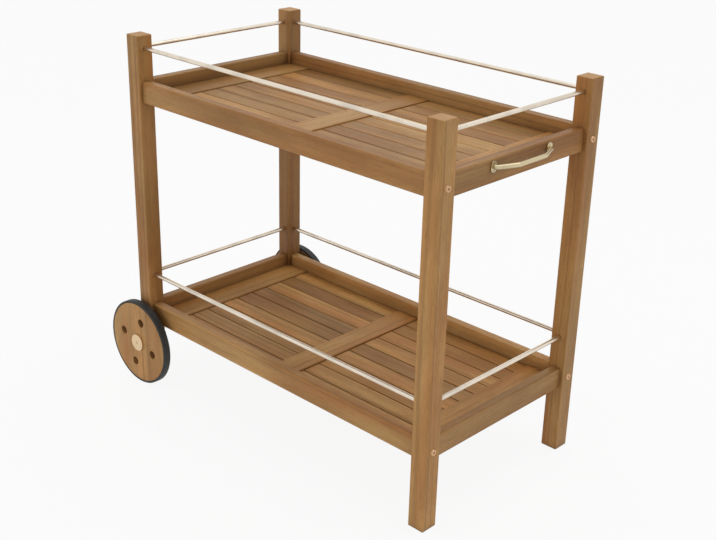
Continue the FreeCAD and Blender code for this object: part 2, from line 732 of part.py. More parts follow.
def make_axle(side, bolt):
    cap_blank = ring(f"{side}_hub_cap_blank", "Dim.hub_cap_diameter / 2", "Dim.hub_cap_thickness",
                     "Place.axle_bore", "Dim.hub_cap_edge_radius",
                     lambda edge: edge.CenterOfMass.y * SIDES[side] > 0)
    at_axle(cap_blank, side, "(Place.cap_in_y + Place.cap_out_y) / 2")
    inward = along_y(side, -1)
    sink = cone(f"{side}_hub_cap_sink", "Dim.axle_head_diameter / 2 + Dim.axle_clearance", "Place.axle_bore",
                "Dim.axle_head_height", inward, ("0", "0", "0"))
    at_axle(sink, side, "Place.cap_out_y")
    keep(cut(f"{side}_hub_cap", cap_blank, [sink]), f"{side}_hub_cap")

    stub = copy_at(f"{side}_axle_stub", bolt, along_y(side), ("0", "0", "0"))
    at_axle(stub, side, "Place.cap_out_y")
    keep(gather(f"{side}_axle_bolt", [stub]), f"{side}_axle_bolt")

    spacer = ring(f"{side}_axle_spacer", "Dim.spacer_diameter / 2", "Place.spacer_length", "Place.axle_bore")
    keep(at_axle(spacer, side, "(Dim.depth_over_posts + Place.spacer_length) / 2"), spacer.Name)
    washer = ring(f"{side}_axle_washer", "Dim.axle_washer_diameter / 2", "Dim.axle_washer_thickness",
                  "Place.axle_bore")
    keep(at_axle(washer, side, "Place.post_in_y - Dim.axle_washer_thickness / 2"), washer.Name)

    nut_blank = prism(f"{side}_axle_nut_blank", "Dim.axle_nut_radius", "Dim.axle_nut_height", along_y(side),
                      ("0", "0", "0"))
    at_axle(nut_blank, side, "Place.nut_in_y")
    thread = cylinder(f"{side}_axle_nut_thread", "Dim.axle_diameter / 2 + Dim.glue_gap",
                      "Dim.axle_nut_height + 2 * Dim.cut_overrun", along_y(side), ("0", "0", "0"))
    at_axle(thread, side, "Place.nut_in_y - Dim.cut_overrun")
    keep(cut(f"{side}_axle_nut", nut_blank, [thread]), f"{side}_axle_nut")


def axle_bolt():
    """The stub axle: the top of its countersunk head lies on z = 0 and its shank runs down."""
    head = cone("axle_head", "Dim.axle_head_diameter / 2", "Dim.axle_diameter / 2", "Dim.axle_head_height",
                DOWN, ("0", "0", "0"))
    shank = cylinder("axle_shank", "Dim.axle_diameter / 2", "Place.axle_length", DOWN, ("0", "0", "0"))
    recess = cross_recess("axle_recess", "Dim.axle_diameter")
    return cut("axle_bolt", fuse("axle_blank", [head, shank]), recess)


# The pull handle

HANDLE_PLATE_ENDS = {"low": -1, "high": 1}


def bend(before, corner, after, radius):
    """The start, middle and end of the arc that rounds a corner between two straight runs."""
    to_before = (before - corner).normalize()
    to_after = (after - corner).normalize()
    half_angle = to_before.getAngle(to_after) / 2
    setback = radius / math.tan(half_angle)
    inward = (to_before + to_after).normalize()
    middle = corner + inward * (radius / math.sin(half_angle) - radius)
    return corner + to_before * setback, middle, corner + to_after * setback


def draw_bent_line(sketch, corners, radius):
    """Straight runs from corner to corner, with every left turn rounded by an arc of one radius."""
    points = [FreeCAD.Vector(sketch.evalExpression(x), sketch.evalExpression(y), 0) for x, y in corners]
    bends = [bend(*trio, sketch.evalExpression(radius)) for trio in zip(points, points[1:], points[2:])]
    starts = [points[0]] + [last for first, middle, last in bends]
    stops = [first for first, middle, last in bends] + [points[-1]]
    runs = [sketch.addGeometry(Part.LineSegment(*ends), False) for ends in zip(starts, stops)]
    arcs = [sketch.addGeometry(Part.Arc(*arc_points), False) for arc_points in bends]
    marks = [sketch.addGeometry(Part.Point(point), True) for point in points]
    for mark, point, (x, y) in zip(marks, points, corners):
        bind(sketch, Sketcher.Constraint("DistanceX", -1, 1, mark, 1, point.x), f"corner_{mark}_x", x)
        bind(sketch, Sketcher.Constraint("DistanceY", -1, 1, mark, 1, point.y), f"corner_{mark}_y", y)
    sketch.addConstraint(Sketcher.Constraint("Coincident", runs[0], 1, marks[0], 1))
    sketch.addConstraint(Sketcher.Constraint("Coincident", runs[-1], 2, marks[-1], 1))
    for arc, mark, before, after in zip(arcs, marks[1:], runs, runs[1:]):
        sketch.addConstraint(Sketcher.Constraint("PointOnObject", mark, 1, before))
        sketch.addConstraint(Sketcher.Constraint("PointOnObject", mark, 1, after))
        sketch.addConstraint(Sketcher.Constraint("Tangent", before, 2, arc, 1))
        sketch.addConstraint(Sketcher.Constraint("Tangent", arc, 2, after, 1))
        bind(sketch, Sketcher.Constraint("Radius", arc, sketch.evalExpression(radius)), f"bend_{arc}", radius)


def handle_path():
    """The middle line of the handle's bar, from plate to plate, as seen from above."""
    foot = "Dim.handle_plate_thickness / 2"
    half_span = "Dim.handle_span / 2"
    half_grip = "Dim.handle_grip_length / 2"
    corners = ((foot, f"-{half_span}"), ("Dim.handle_root", f"-{half_span}"),
               ("Dim.handle_reach", f"-{half_grip}"), ("Dim.handle_reach", half_grip),
               ("Dim.handle_root", half_span), (foot, half_span))
    sketch = doc.addObject("Sketcher::SketchObject", "handle_path")
    draw_bent_line(sketch, corners, "Dim.handle_bend_radius")
    move(sketch, "Place.handle_face_x", "0", "Place.handle_level")
    doc.recompute()
    return sketch


def handle_plate(name, side):
    """An upright plate with round ends, flat against the rail."""
    thickness = "Dim.handle_plate_thickness"
    radius = "Dim.handle_plate_width / 2"
    reach = f"Dim.handle_plate_height / 2 - {radius}"
    y = side_y(side, "Dim.handle_span / 2")
    shapes = [block(f"{name}_middle", (thickness, "Dim.handle_plate_width", f"2 * ({reach})"),
                    (f"Place.handle_face_x + {thickness} / 2", y, "Place.handle_level"))]
    for end, way in HANDLE_PLATE_ENDS.items():
        start = ("Place.handle_face_x", y, f"Place.handle_level + {way} * ({reach})")
        shapes.append(cylinder(f"{name}_{end}_end", radius, thickness, (1, 0, 0), start))
    return shapes


def handle_screw_places():
    face = "Place.handle_face_x + Dim.handle_plate_thickness"
    places = {}
    for side in SIDES:
        for end, way in HANDLE_PLATE_ENDS.items():
            height = f"Place.handle_level + {way} * Dim.handle_screw_spacing / 2"
            places[f"{side}_{end}"] = (face, side_y(side, "Dim.handle_span / 2"), height)
    return places


def handle_screw_holes(name):
    return [screw_hole(f"{name}_{where}_screw_hole", "handle", (-1, 0, 0), start)
            for where, start in handle_screw_places().items()]


def make_handle():
    path = handle_path()
    section = doc.addObject("Part::Circle", "handle_section")
    section.setExpression("Radius", "Dim.handle_bar_diameter / 2")
    turned(section, (1, 0, 0))
    move(section, "Place.handle_face_x + Dim.handle_plate_thickness / 2", "-Dim.handle_span / 2",
         "Place.handle_level")
    grip = doc.addObject("Part::Sweep", "handle_bar")
    grip.Sections = [section]
    grip.Spine = (path, [f"Edge{count}" for count in range(1, len(path.Shape.Edges) + 1)])
    grip.Solid = True
    shapes = [grip]
    for side in SIDES:
        shapes.extend(handle_plate(f"handle_{side}_plate", side))
    blank = fuse("pull_handle_blank", shapes)
    keep(cut("pull_handle", blank, handle_screw_holes("pull_handle")), "pull_handle")
    screw = wood_screw("handle")
    copies = [copy_at(f"handle_screw_{where}", screw, (1, 0, 0), start)
              for where, start in handle_screw_places().items()]
    keep(gather("handle_screws", copies), "handle_screws")


# Checks and files

def check_document():
    for obj in doc.Objects:
        if "Invalid" in obj.State or "Error" in obj.State:
            raise RuntimeError(f"{obj.Label} did not recompute: {obj.State}")
    for piece in pieces:
        if piece.Shape.isNull() or not piece.Shape.isValid() or not piece.Shape.Solids:
            raise RuntimeError(f"{piece.Label} is not a valid solid")


def write_pieces():
    os.makedirs("parts", exist_ok=True)
    for piece in pieces:
        piece.Shape.exportStep(os.path.join("parts", f"{piece.Label}.step"))


sheet = write_sizes()
for end in ENDS:
    for side in SIDES:
        make_post(end, side)
for level in LEVELS:
    for side in SIDES:
        make_long_rail(level, side)
    for end in ENDS:
        make_short_rail(level, end)
    make_rods(level)
make_corner_fasteners()
make_decks(int(sheet.slat_count))
bolt = axle_bolt()
for side in SIDES:
    make_wheel(side)
    make_axle(side, bolt)
make_handle()
doc.recompute()
check_document()
write_pieces()
box = Part.makeCompound([piece.Shape for piece in pieces]).optimalBoundingBox(True, False)
print(f"{len(pieces)} sub-parts, {box.XLength:.1f} x {box.YLength:.1f} x {box.ZLength:.1f} mm")
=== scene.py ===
import math
import random

import bpy
from mathutils import Matrix, Vector


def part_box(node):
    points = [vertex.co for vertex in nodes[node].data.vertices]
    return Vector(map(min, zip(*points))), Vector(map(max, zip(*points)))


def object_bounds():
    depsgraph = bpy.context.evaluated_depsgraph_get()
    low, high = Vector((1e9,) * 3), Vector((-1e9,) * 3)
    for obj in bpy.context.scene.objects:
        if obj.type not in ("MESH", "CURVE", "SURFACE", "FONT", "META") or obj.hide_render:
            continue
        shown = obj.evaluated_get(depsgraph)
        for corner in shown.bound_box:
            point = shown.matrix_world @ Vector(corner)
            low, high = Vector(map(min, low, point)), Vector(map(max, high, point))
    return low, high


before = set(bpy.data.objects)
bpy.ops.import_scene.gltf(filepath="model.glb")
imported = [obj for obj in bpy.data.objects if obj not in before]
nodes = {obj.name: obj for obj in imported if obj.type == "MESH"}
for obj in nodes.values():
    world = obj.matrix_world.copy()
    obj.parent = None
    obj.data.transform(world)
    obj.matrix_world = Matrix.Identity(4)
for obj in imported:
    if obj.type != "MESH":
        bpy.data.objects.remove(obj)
cad_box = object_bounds()

SIDES = ("front", "back")
ENDS = ("wheel", "handle")
LEVELS = ("upper", "lower")
AXES = {"X": 0, "Y": 1, "Z": 2}
WHITE = (1, 1, 1, 1)

# Timber colours: the body of the wood, its paler early growth and its darker late growth
BODY = (0.345, 0.157, 0.045, 1)
PALE = (0.505, 0.267, 0.089, 1)
DARK = (0.205, 0.083, 0.022, 1)
# What a piece's tone does to those colours: at 0 it is a dark piece, at 1 a pale one; the tones carry
# painted light and shade as well as the wood's own tone
DARK_TONE = (0.56, 0.52, 0.48, 1)
PALE_TONE = (1.44, 1.48, 1.52, 1)
# How the hue of the wood drifts, how its fibres shade it, and the painted shade that darkens its
# corners and joints
RUDDY = (1.06, 0.97, 0.90, 1)
OLIVE = (0.95, 1.02, 1.06, 1)
FIBRE_SHADE = (0.91, 0.90, 0.89, 1)
FIBRE_SHINE = (1.07, 1.08, 1.09, 1)
# Painted shade: the dark colour laid into corners, joints and narrow gaps where shade falls
PAINTED_SHADE_COLOUR = (0.040, 0.016, 0.005, 1)
# The boards of the decks are a little yellower than the frame
DECK_TINT = (1, 1, 0.92, 1)
FRAME_TINT = (1, 1.015, 1.05, 1)
# The oil film tints what the timber reflects
OIL_TINT = (1, 0.98, 0.78, 1)

# How often each feature of the timber comes, per metre along the grain and across it
SWAY_PER_METRE = (1.6, 7, 7)
DRIFT_PER_METRE = (3.4, 14, 14)
HUE_PER_METRE = (2, 22, 22)
STREAKS_PER_METRE = (1.3, 62, 62)
FIBRES_PER_METRE = (26, 1000, 1000)
PORES_PER_METRE = (55, 2100, 2100)
RINGS_PER_METRE = 125
# The part of each noise over which its feature sets in
RING_RANGE = (0.46, 0.74)
STREAK_RANGE = (0.48, 0.76)
SOFT_RANGE = (0.30, 0.70)
PORE_RANGE = (0.62, 0.74)
# How much each feature covers the colour below it
RING_SHARE = 0.38
STREAK_SHARE = 0.30
PORE_SHARE = 0.45
# End grain is painted paler than the wood, a painted light on the tops of the posts
END_GRAIN_AND_TOP_LIGHT_SHARE = 0.75
EDGE_SHARE = 0.24
# Where end grain, worn edges and the painted shade in corners set in, from how a face lies and how open
# it is
END_GRAIN_RANGE = (0.70, 0.95)
EDGE_RANGE = (0.995, 0.90)
PAINTED_SHADE_RANGE = (0.85, 0.25)

# How far the grain wanders sideways, and where in its tree a piece lies, in metres
SWAY = 0.016
NEAR_PITH = 0.035
FAR_PITH = 0.110
TREE_LENGTH = 1 / NEAR_PITH
# How deep a relief is, how wide a worn edge is and how far the painted shade reaches out of a joint, in
# metres
RELIEF_DEPTH = 0.00025
EDGE_WIDTH = 0.0022
PAINTED_SHADE_REACH = 0.030
TIMBER_ROUGHNESS = (0.40, 0.54)
TIMBER_BUMP = 0.55
# How glossy the upper deck is, which is often wiped, and the rest of the timber, and how strong the
# painted shade in their corners and gaps is
WIPED_GLOSS_SHARE = 0.44
PLAIN_GLOSS_SHARE = 0.33
UPPER_DECK_PAINTED_SHADE_SHARE = 0.32
PLAIN_PAINTED_SHADE_SHARE = 0.60

# The tone of each piece of timber, partly the wood's own and partly painted light and shade: darker
# where a piece stands in shade, paler where the lamps light it too little
TONE_AND_PAINTED_LIGHT_SHARES = {
    "front_handle_post": 0.60,
    "back_handle_post": 0.50,
    "front_wheel_post": 0.40,
    "back_wheel_post": 0.30,
    "upper_front_rail": 0.40,
    "upper_back_rail": 0.40,
    "upper_handle_rail": 0.35,
    "upper_wheel_rail": 0.20,
    "lower_front_rail": 0.70,
    "lower_back_rail": 0.75,
    "lower_handle_rail": 0.50,
    "lower_wheel_rail": 0.30,
    "upper_wheel_crossboard": 0.30,
    "upper_middle_crossboard": 0.50,
    "upper_handle_crossboard": 0.70,
    "lower_wheel_crossboard": 0.75,
    "lower_middle_crossboard": 0.80,
    "lower_handle_crossboard": 0.80,
    "upper_front_cleat": 0.45,
    "upper_back_cleat": 0.45,
    "lower_front_cleat": 0.45,
    "lower_back_cleat": 0.45,
    "front_wheel_disc": 0.65,
    "back_wheel_disc": 0.65,
    "rail_dowels": 0.80,
}
# Painted shade at the foot of a post: its tone falls to this share at the foot, so it grows darker
# towards the bottom
FOOT_PAINTED_SHADE_SHARES = {"back_wheel_post": 0.0}
SLAT_COUNT = 9
# The tone of each slat, from the front of the cart to its back, partly the wood's own and partly
# painted light and shade
SLAT_TONE_AND_PAINTED_LIGHT_SHARES = {
    "upper_wheel_bay_slats": (0.60, 0.55, 0.40, 0.30, 0.35, 0.40, 0.35, 0.65, 0.15),
    "upper_handle_bay_slats": (1.00, 0.45, 0.30, 0.25, 0.60, 0.70, 0.35, 0.35, 0.25),
    "lower_wheel_bay_slats": (0.95, 0.55, 0.70, 1.00, 0.40, 0.35, 1.00, 0.30, 0.90),
    "lower_handle_bay_slats": (1.00, 0.90, 0.85, 0.90, 0.50, 0.85, 1.00, 0.60, 0.60),
}
# The axis along which the grain of each kind of timber runs
GRAIN_AXES = {"post": "Z", "crossboard": "Y", "cleat": "X", "disc": "Z", "dowels": "X"}

# Metals, rubber and plastic: their colours and how rough they are at their smoothest
ROD_COLOUR = (0.79, 0.70, 0.58, 1)
ROD_ROUGHNESS = 0.18
BRASS_COLOUR = (0.62, 0.52, 0.33, 1)
BRASS_ROUGHNESS = 0.12
HUB_COLOUR = (0.74, 0.55, 0.33, 1)
HUB_ROUGHNESS = 0.30
COPPER_COLOUR = (0.60, 0.37, 0.21, 1)
COPPER_ROUGHNESS = 0.36
ZINC_COLOUR = (0.60, 0.60, 0.58, 1)
ZINC_ROUGHNESS = 0.32
RUBBER_COLOUR = (0.018, 0.019, 0.018, 1)
RUBBER_SCUFF = (0.045, 0.046, 0.043, 1)
RUBBER_ROUGHNESS = 0.62
BUSH_COLOUR = (0.045, 0.045, 0.045, 1)
BUSH_SCUFF = (0.09, 0.09, 0.09, 1)
BUSH_ROUGHNESS = 0.45
# What smudges and brush marks do to a metal, and scuffs and grit to a moulded surface
TARNISH_SHARE = 0.72
SMUDGE_SHARE = 0.5
SMUDGE_RANGE = (0.40, 0.68)
SMUDGE_ROUGHNESS = 0.10
BRUSH_RANGE = (0.2, 0.8)
BRUSH_ROUGHNESS = 0.12
BRUSH_BUMP = 0.10
SCUFF_SHARE = 0.6
SCUFF_RANGE = (0.50, 0.75)
GRIT_ROUGHNESS = 0.2
GRIT_BUMP = 0.35
BRUSH_PER_METRE = (18, 2600, 2600)
SMUDGE_PER_METRE = (24, 24, 24)
GRIT_PER_METRE = (1500, 1500, 1500)
SCUFF_PER_METRE = (45, 45, 45)

# How many finer layers a noise has, its own scale, and its middle value on each axis
PLAIN_DETAIL = 0
SOFT_DETAIL = 2
FINE_DETAIL = 3
FINEST_DETAIL = 4
NOISE_SCALE = 1
NOISE_MIDDLE = (0.5, 0.5, 0.5)
# How many rays feel for an edge or a joint
FEELER_SAMPLES = 4
# Which sockets of a mix node are those of colours: its sockets for other kinds have the same names
MIX_INPUTS = {"share": 0, "first": 6, "second": 7}
MIX_OUTPUT = 2

# The photograph's camera, in metres and degrees, its frame in pixels and its sensor in millimetres
CAMERA_PLACE = Vector((1.7513, -1.7675, 1.4123))
CAMERA_AZIMUTH = 43.709
CAMERA_ELEVATION = 23.187
CAMERA_ROLL = 1.419
FOCAL_PIXELS = 1185.4
FRAME_PIXELS = 716
SENSOR_WIDTH = 36

# The studio: how strongly its walls and ceiling shine, and its floor and lamp in metres and watts
HORIZON_STRENGTH = 1.22
ZENITH_STRENGTH = 0.48
RIGHT_WALL_SHARE = 0.68
RIGHT_WALL_RANGE = (0.45, 0.85)
GLOW_STRENGTH = 1
FLOOR_RADIUS = 12
FLOOR_SIDES = 64
FLOOR_COLOUR = (0.86, 0.86, 0.86, 1)
SHADOW_SHARE = 0.10
OVERHEAD_REACH = Vector((0.2, 0.4, 2.4))
OVERHEAD_SIZE = 2.2
OVERHEAD_POWER = 15


class Tree:
    """A node tree with short calls, most of which add a node and give back its output."""

    def __init__(self, tree):
        self.tree = tree
        self.tree.nodes.clear()

    def feed(self, socket, value):
        if isinstance(value, bpy.types.NodeSocket):
            self.tree.links.new(value, socket)
        else:
            socket.default_value = value

    def node(self, kind, inputs=None, **settings):
        made = self.tree.nodes.new(f"ShaderNode{kind}")
        for name, value in settings.items():
            setattr(made, name, value)
        for key, value in (inputs or {}).items():
            self.feed(made.inputs[key], value)
        return made

    def place(self):
        """The place on the object, in metres."""
        return self.node("TexCoord").outputs["Object"]

    def maths(self, operation, *values):
        return self.node("Math", dict(enumerate(values)), operation=operation).outputs[0]

    def vector(self, operation, *values):
        return self.node("VectorMath", dict(enumerate(values)), operation=operation).outputs["Vector"]

    def measure(self, operation, *vectors):
        return self.node("VectorMath", dict(enumerate(vectors)), operation=operation).outputs["Value"]

    def spread(self, value, start, to=(0, 1)):
        """Moves a value from one range to another, smoothly and with nothing outside it."""
        from_low, from_high = start
        to_low, to_high = to
        ends = {"From Min": from_low, "From Max": from_high, "To Min": to_low, "To Max": to_high}
        made = self.node("MapRange", {"Value": value, **ends}, interpolation_type="SMOOTHSTEP")
        return made.outputs[0]

    def noise(self, place, per_metre, detail=SOFT_DETAIL, output="Fac"):
        """A noise with so many features per metre on each axis."""
        scaled = self.vector("MULTIPLY", place, per_metre)
        sockets = {"Vector": scaled, "Scale": NOISE_SCALE, "Detail": detail}
        return self.node("TexNoise", sockets).outputs[output]

    def mix(self, share, first, second, blend="MIX"):
        values = {"share": share, "first": first, "second": second}
        sockets = {MIX_INPUTS[name]: value for name, value in values.items()}
        return self.node("Mix", sockets, data_type="RGBA", blend_type=blend).outputs[MIX_OUTPUT]

    def blend_in(self, share, most, first, second):
        """Mixes two colours by a share that reaches no further than the most named."""
        return self.mix(self.maths("MULTIPLY", share, most), first, second)

    def times(self, first, second):
        return self.mix(1, first, second, "MULTIPLY")

    def mix_shaders(self, share, *shaders):
        return self.node("MixShader", dict(enumerate((share, *shaders)))).outputs[0]

    def bump(self, height, strength):
        relief = {"Height": height, "Distance": RELIEF_DEPTH, "Strength": strength}
        return self.node("Bump", relief).outputs[0]

    def parts(self, vector):
        return self.node("SeparateXYZ", {0: vector}).outputs

    def turned(self, vector, axis):
        """The same vector with the named axis as its X."""
        parts = self.parts(vector)
        first = AXES[axis]
        order = {place: parts[(first + place) % len(AXES)] for place in range(len(AXES))}
        return self.node("CombineXYZ", order).outputs[0]


def new_material(name):
    material = bpy.data.materials.new(name)
    material.use_nodes = True
    return material, Tree(material.node_tree)


def surface(tree, **sockets):
    """The material's shader, with its sockets named by words joined with underscores."""
    named = {name.replace("_", " "): value for name, value in sockets.items()}
    shader = tree.node("BsdfPrincipled", named).outputs[0]
    tree.node("OutputMaterial", {"Surface": shader})


# Timber

def swayed(tree, place):
    """The place in a timber whose grain wanders from side to side along its length."""
    sway = tree.noise(place, SWAY_PER_METRE, output="Color")
    centred = tree.vector("SUBTRACT", sway, NOISE_MIDDLE)
    return tree.vector("ADD", place, tree.vector("MULTIPLY", centred, (0, SWAY, SWAY)))


def growth_ring(tree, place):
    """Rings of uneven width round the middle of the tree, 1 in the late growth and 0 in the early."""
    flat = tree.vector("MULTIPLY", place, (0, 1, 1))
    count = tree.maths("MULTIPLY", tree.measure("LENGTH", flat), RINGS_PER_METRE)
    sockets = {"W": count, "Scale": NOISE_SCALE, "Detail": FINE_DETAIL}
    rings = tree.node("TexNoise", sockets, noise_dimensions="1D").outputs["Fac"]
    return tree.spread(rings, RING_RANGE)


def timber_group():
    """Turns a place in the timber, with X along the grain, into its colour, roughness and relief."""
    group = bpy.data.node_groups.new("timber", "ShaderNodeTree")
    for name, kind in (("Place", "Vector"), ("Tone", "Float")):
        group.interface.new_socket(name, in_out="INPUT", socket_type=f"NodeSocket{kind}")
    for name, kind in (("Colour", "Color"), ("Roughness", "Float"), ("Relief", "Float")):
        group.interface.new_socket(name, in_out="OUTPUT", socket_type=f"NodeSocket{kind}")
    tree = Tree(group)
    entry = group.nodes.new("NodeGroupInput")
    place = swayed(tree, entry.outputs["Place"])

    ring = growth_ring(tree, place)
    drift = tree.spread(tree.noise(place, DRIFT_PER_METRE), SOFT_RANGE)
    hue = tree.spread(tree.noise(place, HUE_PER_METRE), SOFT_RANGE)
    streak = tree.spread(tree.noise(place, STREAKS_PER_METRE, FINE_DETAIL), STREAK_RANGE)
    fibre = tree.spread(tree.noise(place, FIBRES_PER_METRE, FINE_DETAIL), SOFT_RANGE)
    pore = tree.spread(tree.noise(place, PORES_PER_METRE, PLAIN_DETAIL), PORE_RANGE)

    colour = tree.mix(drift, BODY, PALE)
    colour = tree.blend_in(ring, RING_SHARE, colour, DARK)
    colour = tree.blend_in(streak, STREAK_SHARE, colour, DARK)
    colour = tree.blend_in(pore, PORE_SHARE, colour, DARK)
    colour = tree.times(colour, tree.mix(hue, RUDDY, OLIVE))
    colour = tree.times(colour, tree.mix(fibre, FIBRE_SHADE, FIBRE_SHINE))
    # The tone carries painted light and shade as well as the wood's own tone
    colour = tree.times(colour, tree.mix(entry.outputs["Tone"], DARK_TONE, PALE_TONE))

    pitted = tree.maths("MAXIMUM", pore, tree.maths("SUBTRACT", 1, fibre))
    roughness = tree.spread(pitted, (0, 1), TIMBER_ROUGHNESS)
    relief = tree.maths("SUBTRACT", tree.maths("ADD", fibre, ring), pore)

    leave = group.nodes.new("NodeGroupOutput")
    for name, value in (("Colour", colour), ("Roughness", roughness), ("Relief", relief)):
        group.links.new(value, leave.inputs[name])
    return group


TIMBER = timber_group()


def edge_wear(tree, place):
    """How much the arrises show: 1 on a worn edge and 0 on a flat face."""
    rounded = tree.node("Bevel", {"Radius": EDGE_WIDTH}, samples=FEELER_SAMPLES).outputs[0]
    normal = tree.node("NewGeometry").outputs["Normal"]
    alike = tree.measure("DOT_PRODUCT", rounded, normal)
    patchy = tree.spread(tree.noise(place, SCUFF_PER_METRE), SOFT_RANGE)
    return tree.maths("MULTIPLY", tree.spread(alike, EDGE_RANGE), patchy)


def painted_corner_shade(tree):
    """Painted shade from how enclosed a place is: 1 deep in a joint and 0 on an open face."""
    around = tree.node("AmbientOcclusion", {"Distance": PAINTED_SHADE_REACH}, samples=FEELER_SAMPLES)
    return tree.spread(around.outputs["AO"], PAINTED_SHADE_RANGE)


def in_deck(node):
    """Whether a piece of timber is one of the boards of a deck."""
    return node.split("_")[-1] in ("slats", "crossboard")


def finish_timber(tree, node, place, axis, tone_and_light):
    """The oiled surface of a timber whose grain runs along the named axis, with painted shade in its
    corners and joints.
    """
    upper_deck = in_deck(node) and node.startswith("upper")
    tint = DECK_TINT if in_deck(node) else FRAME_TINT
    gloss = WIPED_GLOSS_SHARE if upper_deck else PLAIN_GLOSS_SHARE
    painted_shade_share = UPPER_DECK_PAINTED_SHADE_SHARE if upper_deck else PLAIN_PAINTED_SHADE_SHARE
    cut = {"Place": tree.turned(place, axis), "Tone": tone_and_light}
    wood = tree.node("Group", cut, node_tree=TIMBER).outputs
    normal = tree.node("TexCoord").outputs["Normal"]
    facing = tree.maths("ABSOLUTE", tree.parts(normal)[axis])
    # Paler end grain: partly the cut ends, partly painted light on the tops of the posts
    end_grain_and_top_light = tree.spread(facing, END_GRAIN_RANGE)
    colour = tree.times(wood["Colour"], tint)
    colour = tree.blend_in(end_grain_and_top_light, END_GRAIN_AND_TOP_LIGHT_SHARE, colour, PALE)
    colour = tree.blend_in(edge_wear(tree, place), EDGE_SHARE, colour, PALE)
    # Painted shade: darkens corners, joints and gaps where shade falls
    colour = tree.blend_in(painted_corner_shade(tree), painted_shade_share, colour, PAINTED_SHADE_COLOUR)
    bump = tree.bump(wood["Relief"], TIMBER_BUMP)
    surface(tree, Base_Color=colour, Roughness=wood["Roughness"], Specular_IOR_Level=gloss,
            Specular_Tint=OIL_TINT, Normal=bump)


def timber(node, axis, tone_and_light):
    """A material for one piece of timber, cut from its own part of the tree."""
    draw = random.Random(node)
    angle = draw.uniform(0, math.tau)
    from_pith = draw.uniform(NEAR_PITH, FAR_PITH)
    along = AXES[axis]
    cut = Vector()
    cut[along] = draw.uniform(0, TREE_LENGTH)
    cut[(along + 1) % len(AXES)] = from_pith * math.cos(angle)
    cut[(along + 2) % len(AXES)] = from_pith * math.sin(angle)
    low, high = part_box(node)
    material, tree = new_material(f"timber_{node}")
    place = tree.place()
    # Painted shade: the post grows darker towards its foot
    if node in FOOT_PAINTED_SHADE_SHARES:
        height = tree.parts(place)["Z"]
        tone_and_light = tree.spread(height, (low.z, high.z), (FOOT_PAINTED_SHADE_SHARES[node], tone_and_light))
    place = tree.vector("ADD", place, cut - (low + high) / 2)
    finish_timber(tree, node, place, axis, tone_and_light)
    return material


def slat_tone_and_light(tree, rows, tones_and_light):
    """The tone of the slat in which a place lies, counted in rows from the front of the bay; the tone
    is partly painted light and shade.
    """
    ramp = tree.node("ValToRGB", {0: tree.maths("DIVIDE", rows, SLAT_COUNT)})
    ramp.color_ramp.interpolation = "CONSTANT"
    stops = ramp.color_ramp.elements
    while len(stops) < SLAT_COUNT:
        stops.new(1)
    for count, (stop, share) in enumerate(zip(stops, tones_and_light)):
        stop.position = count / SLAT_COUNT
        stop.color = (share, share, share, 1)
    return ramp.outputs["Color"]


def slat_timber(node, level, tones_and_light):
    """A material for a bay of slats along X, each with its own tone and its own part of the tree."""
    low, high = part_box(node)
    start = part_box(f"{level}_front_rail")[-1].y
    pitch = (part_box(f"{level}_back_rail")[0].y - start) / SLAT_COUNT
    material, tree = new_material(f"timber_{node}")
    place = tree.place()
    rows = tree.maths("DIVIDE", tree.maths("SUBTRACT", tree.parts(place)["Y"], start), pitch)
    row = tree.maths("FLOOR", rows)
    sideways = tree.maths("MULTIPLY_ADD", row, -pitch, -start - pitch / 2)
    centred = tree.node("CombineXYZ", {"Y": sideways, "Z": -(low.z + high.z) / 2}).outputs[0]
    seed = tree.maths("ADD", row, low.x + low.z)
    chance = tree.node("TexWhiteNoise", {"W": seed}, noise_dimensions="1D").outputs["Color"]
    cut = tree.vector("MULTIPLY", chance, (TREE_LENGTH, FAR_PITH, FAR_PITH))
    cut = tree.vector("ADD", cut, (0, 0, NEAR_PITH))
    place = tree.vector("ADD", tree.vector("ADD", place, centred), cut)
    finish_timber(tree, node, place, "X", slat_tone_and_light(tree, rows, tones_and_light))
    return material


# Metal, rubber and plastic

def metal(name, colour, axis, smoothest):
    """A metal with fine brush marks along the named axis and a few duller smudges."""
    material, tree = new_material(name)
    place = tree.turned(tree.place(), axis)
    brush = tree.noise(place, BRUSH_PER_METRE, FINE_DETAIL)
    smudge = tree.spread(tree.noise(place, SMUDGE_PER_METRE, FINE_DETAIL), SMUDGE_RANGE)
    dull = (*(TARNISH_SHARE * part for part in colour[:-1]), 1)
    tint = tree.blend_in(smudge, SMUDGE_SHARE, colour, dull)
    roughness = tree.spread(brush, BRUSH_RANGE, (smoothest, smoothest + BRUSH_ROUGHNESS))
    roughness = tree.maths("MULTIPLY_ADD", smudge, SMUDGE_ROUGHNESS, roughness)
    bump = tree.bump(brush, BRUSH_BUMP)
    surface(tree, Base_Color=tint, Metallic=1, Roughness=roughness, Normal=bump)
    return material


def moulded(name, colour, scuff_colour, roughness):
    """A dull moulded surface with a fine grit and paler scuffs."""
    material, tree = new_material(name)
    place = tree.place()
    grit = tree.noise(place, GRIT_PER_METRE)
    scuff = tree.spread(tree.noise(place, SCUFF_PER_METRE, FINEST_DETAIL), SCUFF_RANGE)
    tint = tree.blend_in(scuff, SCUFF_SHARE, colour, scuff_colour)
    rough = tree.maths("MULTIPLY_ADD", grit, GRIT_ROUGHNESS, roughness - GRIT_ROUGHNESS / 2)
    bump = tree.bump(grit, GRIT_BUMP)
    surface(tree, Base_Color=tint, Roughness=rough, Normal=bump)
    return material


# Which piece has which material

def dress(node, material):
    """Gives one CAD node its material."""
    for slot in nodes[node].material_slots:
        slot.material = material


def grain_axis(node):
    """The axis along which a piece of timber is cut: a rail's grain runs from post to post."""
    kind = node.split("_")[-1]
    if kind == "rail":
        return "X" if any(side in node for side in SIDES) else "Y"
    return GRAIN_AXES[kind]


